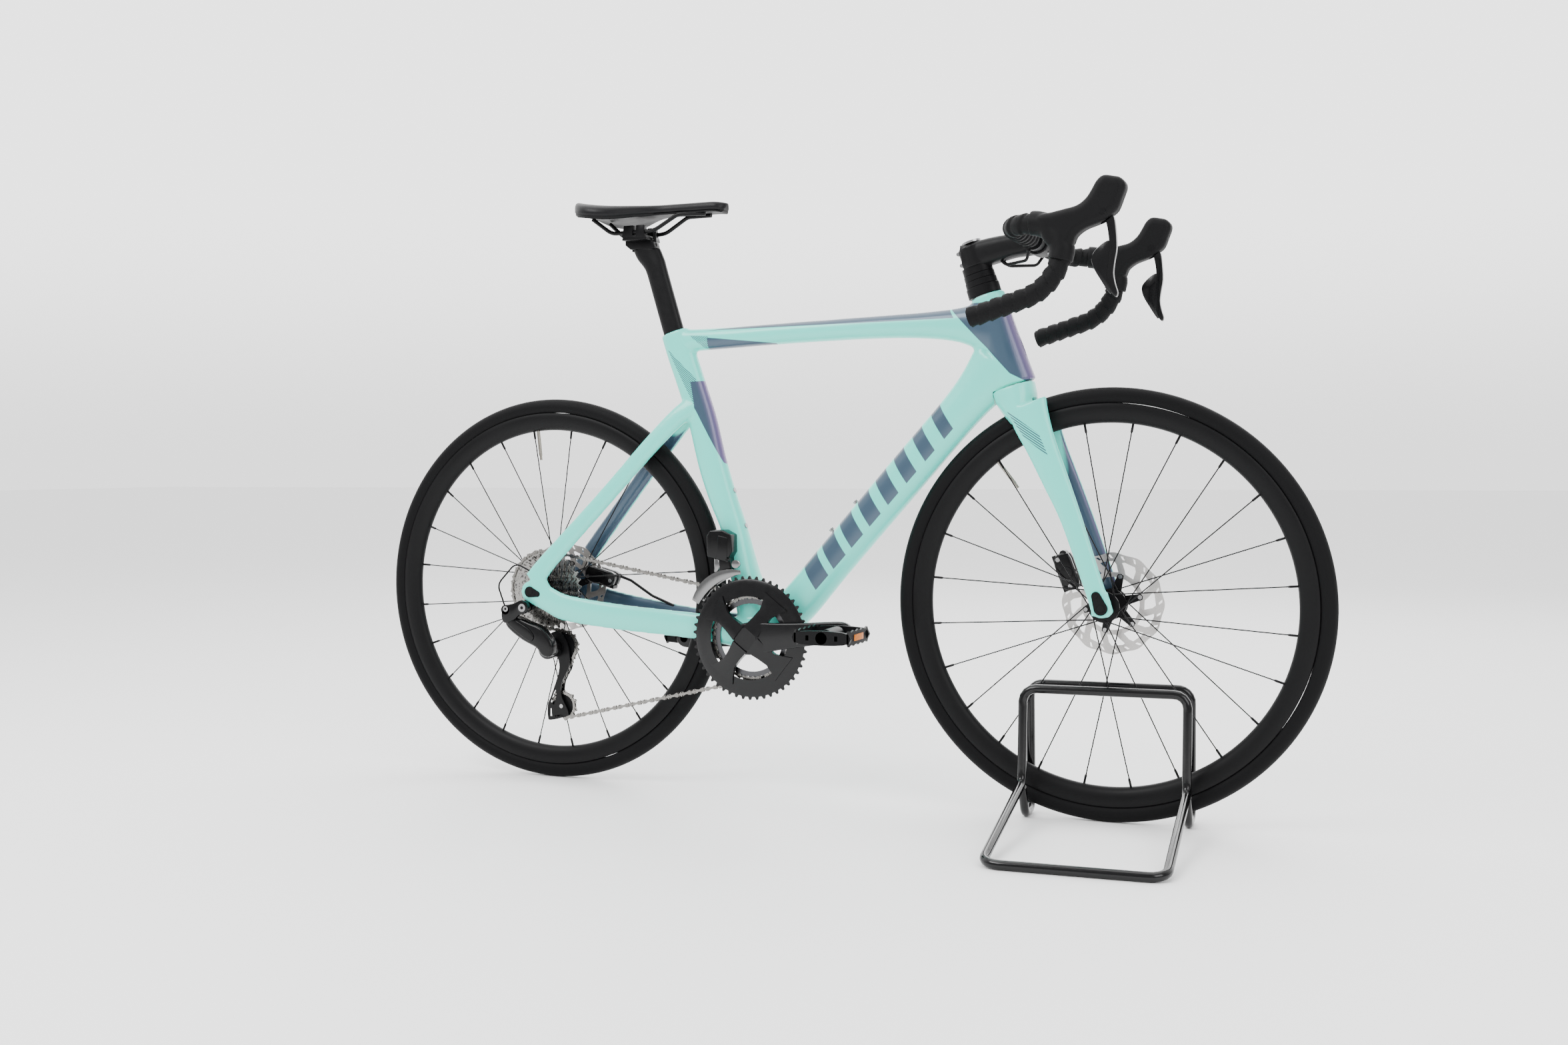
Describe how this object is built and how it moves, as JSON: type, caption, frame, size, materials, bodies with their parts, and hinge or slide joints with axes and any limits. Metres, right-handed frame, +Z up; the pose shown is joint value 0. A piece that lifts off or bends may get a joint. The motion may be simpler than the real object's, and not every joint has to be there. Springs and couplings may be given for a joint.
{
  "type": "bicycle on stand",
  "caption": "Drop-bar road bicycle with disc brakes and deep-tube frame, its front wheel held upright in a bent-tube floor stand.",
  "frame": {"origin": "on the floor, in the bicycle's mid-plane, halfway between the two wheel axles", "axes": "+X forward, +Y to the rider's left (away from the drive side), +Z up"},
  "size_m": [1.6649, 0.5841, 1.0167],
  "materials": {
    "celeste_paint": "gloss",
    "carbon_satin": "satin",
    "tyre_rubber": "matte",
    "bar_tape": "matte",
    "hood_rubber": "matte",
    "saddle_cover": "satin",
    "black_alloy": "satin",
    "caliper_black": "gloss",
    "lever_black": "satin",
    "steel": "satin",
    "spoke_black": "satin",
    "valve_metal": "satin",
    "hose_black": "satin",
    "stand_black": "gloss"
  },
  "bodies": {
    "frame": {"frame": "celeste_paint", "headset_bearings": "steel", "bottom_bracket_cups": "black_alloy", "mech_hanger": "black_alloy", "bottle_bolts": "steel", "rear_axle": "black_alloy", "rear_caliper": "caliper_black", "rear_brake_hose": "hose_black", "mech_wire": "hose_black", "front_mech": "caliper_black", "chain": "steel", "rear_mech_base": "caliper_black"},
    "saddle_group": {"seatpost": "carbon_satin", "saddle_clamp": "black_alloy", "saddle_rails": "carbon_satin", "saddle_shell": "carbon_satin", "saddle_pad": "saddle_cover"},
    "front_mech_cage": {"front_mech_cage": "steel"},
    "rear_mech_link": {"rear_mech_link": "caliper_black"},
    "rear_mech_knuckle": {"rear_mech_knuckle": "caliper_black"},
    "rear_mech_cage": {"rear_mech_cage": "caliper_black"},
    "guide_pulley": {"guide_pulley": "lever_black"},
    "tension_pulley": {"tension_pulley": "lever_black"},
    "fork_and_bar": {"fork": "celeste_paint", "headset_spacers": "black_alloy", "stem": "black_alloy", "stem_bolts": "black_alloy", "handlebar": "carbon_satin", "bar_tape": "bar_tape", "hoods": "hood_rubber", "front_axle": "black_alloy", "front_caliper": "caliper_black", "cockpit_hoses": "hose_black"},
    "brake_lever_right": {"brake_lever_right": "lever_black"},
    "brake_lever_left": {"brake_lever_left": "lever_black"},
    "shift_paddle_right": {"shift_paddle_right": "lever_black"},
    "shift_paddle_left": {"shift_paddle_left": "lever_black"},
    "front_wheel": {"front_tyre": "tyre_rubber", "front_rim": "carbon_satin", "front_spokes": "spoke_black", "front_hub": "black_alloy", "front_rotor": "steel", "front_valve": "valve_metal"},
    "rear_wheel": {"rear_tyre": "tyre_rubber", "rear_rim": "carbon_satin", "rear_spokes": "spoke_black", "rear_hub": "black_alloy", "rear_rotor": "steel", "rear_valve": "valve_metal"},
    "cassette": {"cassette": "steel"},
    "cranks": {"crank_right": "black_alloy", "crank_left": "black_alloy", "big_ring": "black_alloy", "small_ring": "steel", "ring_bolts": "steel", "pedal_spindles": "steel"},
    "pedal_right": {"pedal_right": "lever_black"},
    "pedal_left": {"pedal_left": "lever_black"},
    "stand": {"stand_hoop": "stand_black", "stand_cradle": "stand_black"}
  },
  "joints": [
    {"name": "steering", "type": "hinge", "parent": "frame", "child": "fork_and_bar", "pos_m": [0.34395, 0, 0.67992], "axis": [-0.2924, 0, 0.9563], "range_deg": [-35, 35]},
    {"name": "front_wheel_spin", "type": "hinge", "parent": "fork_and_bar", "child": "front_wheel", "pos_m": [0.4945, 0, 0.338], "axis": [0, 1, 0], "continuous": true},
    {"name": "rear_wheel_spin", "type": "hinge", "parent": "frame", "child": "rear_wheel", "pos_m": [-0.4945, 0, 0.338], "axis": [0, 1, 0], "continuous": true},
    {"name": "crank_spin", "type": "hinge", "parent": "frame", "child": "cranks", "pos_m": [-0.0916, 0, 0.2694], "axis": [0, 1, 0], "continuous": true},
    {"name": "freewheel_spin", "type": "hinge", "parent": "frame", "child": "cassette", "pos_m": [-0.4945, 0, 0.338], "axis": [0, 1, 0], "continuous": true},
    {"name": "pedal_right_spin", "type": "hinge", "parent": "cranks", "child": "pedal_right", "pos_m": [0.07996, -0.12, 0.28743], "axis": [0, 1, 0], "continuous": true},
    {"name": "pedal_left_spin", "type": "hinge", "parent": "cranks", "child": "pedal_left", "pos_m": [-0.26315, 0.12, 0.25137], "axis": [0, 1, 0], "continuous": true},
    {"name": "rear_mech_shift", "type": "hinge", "parent": "frame", "child": "rear_mech_link", "pos_m": [-0.5315, -0.084, 0.294], "axis": [0.7041, 0, 0.7101], "range_deg": [-2, 1.2]},
    {"name": "rear_mech_knuckle_turn", "type": "hinge", "parent": "rear_mech_link", "child": "rear_mech_knuckle", "pos_m": [-0.472, -0.064, 0.235], "axis": [0.7041, 0, 0.7101], "range_deg": [-2, 1.2]},
    {"name": "rear_mech_cage_swing", "type": "hinge", "parent": "rear_mech_knuckle", "child": "rear_mech_cage", "pos_m": [-0.472, -0.04, 0.235], "axis": [0, 1, 0], "range_deg": [-12, 4], "stiffness_Nm_per_rad": 0.4, "springref_deg": -17.19, "deforming": ["chain"]},
    {"name": "guide_pulley_spin", "type": "hinge", "parent": "rear_mech_cage", "child": "guide_pulley", "pos_m": [-0.46, -0.027, 0.239], "axis": [0, 1, 0], "continuous": true},
    {"name": "tension_pulley_spin", "type": "hinge", "parent": "rear_mech_cage", "child": "tension_pulley", "pos_m": [-0.461, -0.027, 0.133], "axis": [0, 1, 0], "continuous": true},
    {"name": "front_mech_swing", "type": "hinge", "parent": "frame", "child": "front_mech_cage", "pos_m": [-0.1536, -0.036, 0.3894], "axis": [0, 0, 1], "range_deg": [-1.5, 1.5]},
    {"name": "brake_lever_right_pull", "type": "hinge", "parent": "fork_and_bar", "child": "brake_lever_right", "pos_m": [0.5265, -0.207, 0.911], "axis": [0, 1, 0], "range_deg": [0, 18], "stiffness_Nm_per_rad": 1.2, "springref_deg": -5.73},
    {"name": "shift_paddle_right_push", "type": "hinge", "parent": "brake_lever_right", "child": "shift_paddle_right", "pos_m": [0.5305, -0.2095, 0.861], "axis": [0, 0, 1], "range_deg": [0, 8], "stiffness_Nm_per_rad": 0.1, "springref_deg": -2.86},
    {"name": "brake_lever_left_pull", "type": "hinge", "parent": "fork_and_bar", "child": "brake_lever_left", "pos_m": [0.5265, 0.207, 0.911], "axis": [0, 1, 0], "range_deg": [0, 18], "stiffness_Nm_per_rad": 1.2, "springref_deg": -5.73},
    {"name": "shift_paddle_left_push", "type": "hinge", "parent": "brake_lever_left", "child": "shift_paddle_left", "pos_m": [0.5305, 0.2095, 0.861], "axis": [0, 0, -1], "range_deg": [0, 8], "stiffness_Nm_per_rad": 0.1, "springref_deg": -2.86},
    {"name": "seatpost_slide", "type": "slide", "parent": "frame", "child": "saddle_group", "axis": [-0.2874, 0, 0.9578], "range_m": [-0.03, 0.05]},
    {"name": "stand_drop", "type": "slide", "parent": "fork_and_bar", "child": "stand", "axis": [0, 0, -1], "range_m": [0, 0.25]}
  ],
  "couplings": [
    {"joint": "freewheel_spin", "follows": "crank_spin", "ratio": 1},
    {"joint": "guide_pulley_spin", "follows": "crank_spin", "ratio": -2.6154},
    {"joint": "tension_pulley_spin", "follows": "crank_spin", "ratio": 3.0909}
  ]
}
